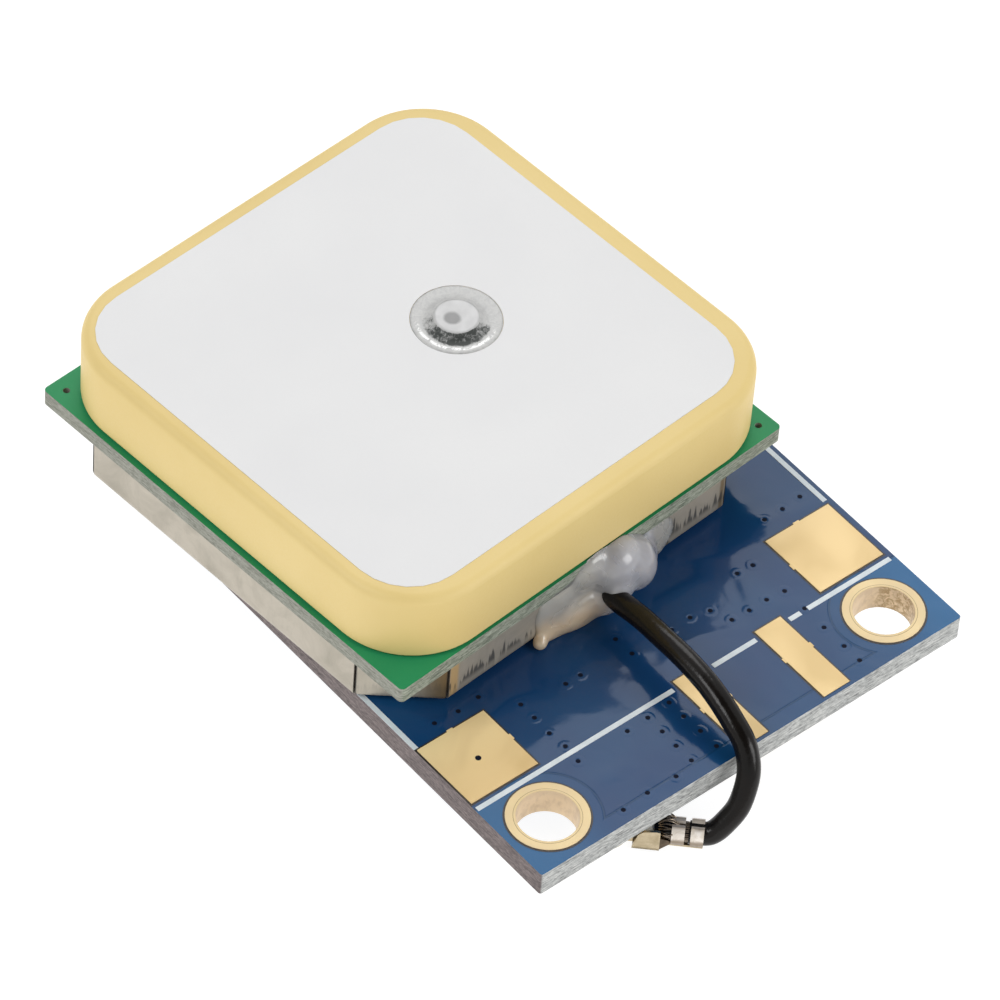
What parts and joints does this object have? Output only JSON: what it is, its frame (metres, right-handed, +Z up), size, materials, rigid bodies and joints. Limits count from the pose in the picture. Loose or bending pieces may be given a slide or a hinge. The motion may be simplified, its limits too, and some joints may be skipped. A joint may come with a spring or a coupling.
{
  "type": "gps module",
  "caption": "Satellite receiver module: blue circuit board with a square ceramic patch antenna on a shield can, joined by a short black coax lead with a push-fit plug.",
  "frame": {"origin": "midway between the two front mounting holes, on the main board's upper face", "axes": "+X along the board's front edge, +Y from the front edge towards the antenna, +Z up out of the face that carries the antenna"},
  "size_m": [0.0283, 0.0389, 0.0121],
  "materials": {
    "board_blue": "gloss",
    "board_green": "satin",
    "board_black": "satin",
    "gold": "satin",
    "tape": "matte",
    "tinned_can": "satin",
    "ceramic": "matte",
    "silver": "matte",
    "solder": "satin",
    "cable_black": "satin",
    "braid": "satin",
    "insulator": "matte",
    "glue": "gloss",
    "plug_metal": "satin",
    "chip_black": "matte",
    "chip_ceramic": "matte",
    "lid_steel": "satin",
    "tin": "satin",
    "lamp": "gloss"
  },
  "bodies": {
    "root": {"main_board": "board_blue", "hole_plating": "gold", "square_pads": "gold", "edge_pads": "gold", "header_plating": "gold", "mounting_tape": "tape", "shield_can": "tinned_can", "antenna_board": "board_green", "amplifier_chip": "chip_black", "saw_filter": "chip_ceramic", "antenna_passives": "chip_ceramic", "patch_film": "tape", "ceramic_patch": "ceramic", "patch_electrode": "silver", "feed_pin": "solder", "feed_solder": "solder", "feed_joint": "solder", "coax_jacket": "cable_black", "coax_braid": "braid", "coax_core": "insulator", "coax_joints": "solder", "sealing_glue": "glue", "plug_shell": "plug_metal", "plug_insulator": "insulator", "plug_contact": "gold", "socket_base": "insulator", "socket_ring": "gold", "socket_pin": "gold", "receiver_board": "board_black", "receiver_shield": "lid_steel", "receiver_chip": "chip_black", "receiver_crystal": "lid_steel", "memory_chip": "chip_black", "memory_leads": "tin", "regulator": "chip_black", "regulator_leads": "tin", "backup_cell": "lid_steel", "cell_tabs": "tin", "status_light": "lamp", "resistors": "chip_black", "capacitors": "chip_ceramic", "chip_terminals": "tin"}
  },
  "joints": []
}
